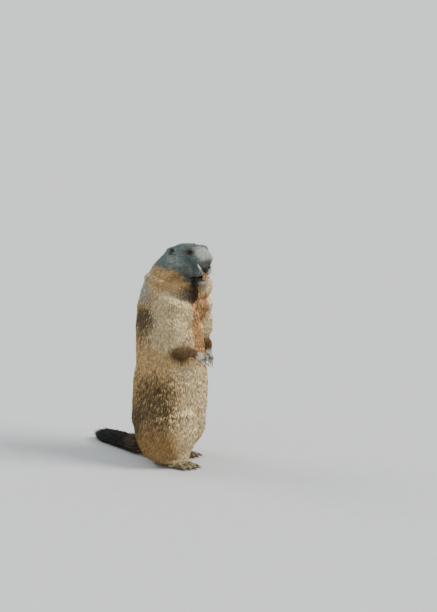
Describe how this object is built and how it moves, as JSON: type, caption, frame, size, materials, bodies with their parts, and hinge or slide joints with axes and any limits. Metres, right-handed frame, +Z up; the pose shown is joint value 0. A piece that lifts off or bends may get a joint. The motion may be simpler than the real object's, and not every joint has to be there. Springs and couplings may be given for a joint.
{
  "type": "alpine marmot",
  "caption": "Life-size still model of an alpine marmot standing upright on its haunches, hands held before its belly, bushy tail on the floor.",
  "frame": {"origin": "middle of the animal's bounding box, on the floor it stands on", "axes": "+Z up, the hips face -Y, +X is the animal's left side"},
  "size_m": [0.2222, 0.343, 0.5041],
  "materials": {
    "fur_cream": "soft fur, cream to buff with dark streaks",
    "fur_tan": "soft fur, warm tan, grizzled",
    "fur_grey": "short fur, blue-grey",
    "fur_pale": "short fur, pale grey",
    "fur_rust": "short fur, rusty brown",
    "fur_soot": "long bushy fur, near black",
    "eye_gloss": "wet gloss",
    "nose_skin": "fine grain, slightly moist",
    "claw_horn": "satin horn",
    "tooth_enamel": "smooth enamel, orange"
  },
  "bodies": {
    "root": {"head": "fur_grey", "neck": "fur_cream", "chest": "fur_cream", "belly": "fur_tan", "tail": "fur_soot", "nose": "nose_skin", "ear_left": "fur_grey", "eye_left": "eye_gloss", "incisor_upper_left": "tooth_enamel", "upper_arm_left": "fur_cream", "forearm_left": "fur_rust", "hand_left": "fur_pale", "thigh_left": "fur_tan", "shank_left": "fur_pale", "foot_left": "fur_pale", "claw_hand_left_1": "claw_horn", "claw_hand_left_2": "claw_horn", "claw_hand_left_3": "claw_horn", "claw_hand_left_4": "claw_horn", "claw_foot_left_1": "claw_horn", "claw_foot_left_2": "claw_horn", "claw_foot_left_3": "claw_horn", "claw_foot_left_4": "claw_horn", "claw_foot_left_5": "claw_horn", "ear_right": "fur_grey", "eye_right": "eye_gloss", "incisor_upper_right": "tooth_enamel", "upper_arm_right": "fur_cream", "forearm_right": "fur_rust", "hand_right": "fur_pale", "thigh_right": "fur_tan", "shank_right": "fur_pale", "foot_right": "fur_pale", "claw_hand_right_1": "claw_horn", "claw_hand_right_2": "claw_horn", "claw_hand_right_3": "claw_horn", "claw_hand_right_4": "claw_horn", "claw_foot_right_1": "claw_horn", "claw_foot_right_2": "claw_horn", "claw_foot_right_3": "claw_horn", "claw_foot_right_4": "claw_horn", "claw_foot_right_5": "claw_horn"}
  },
  "joints": []
}
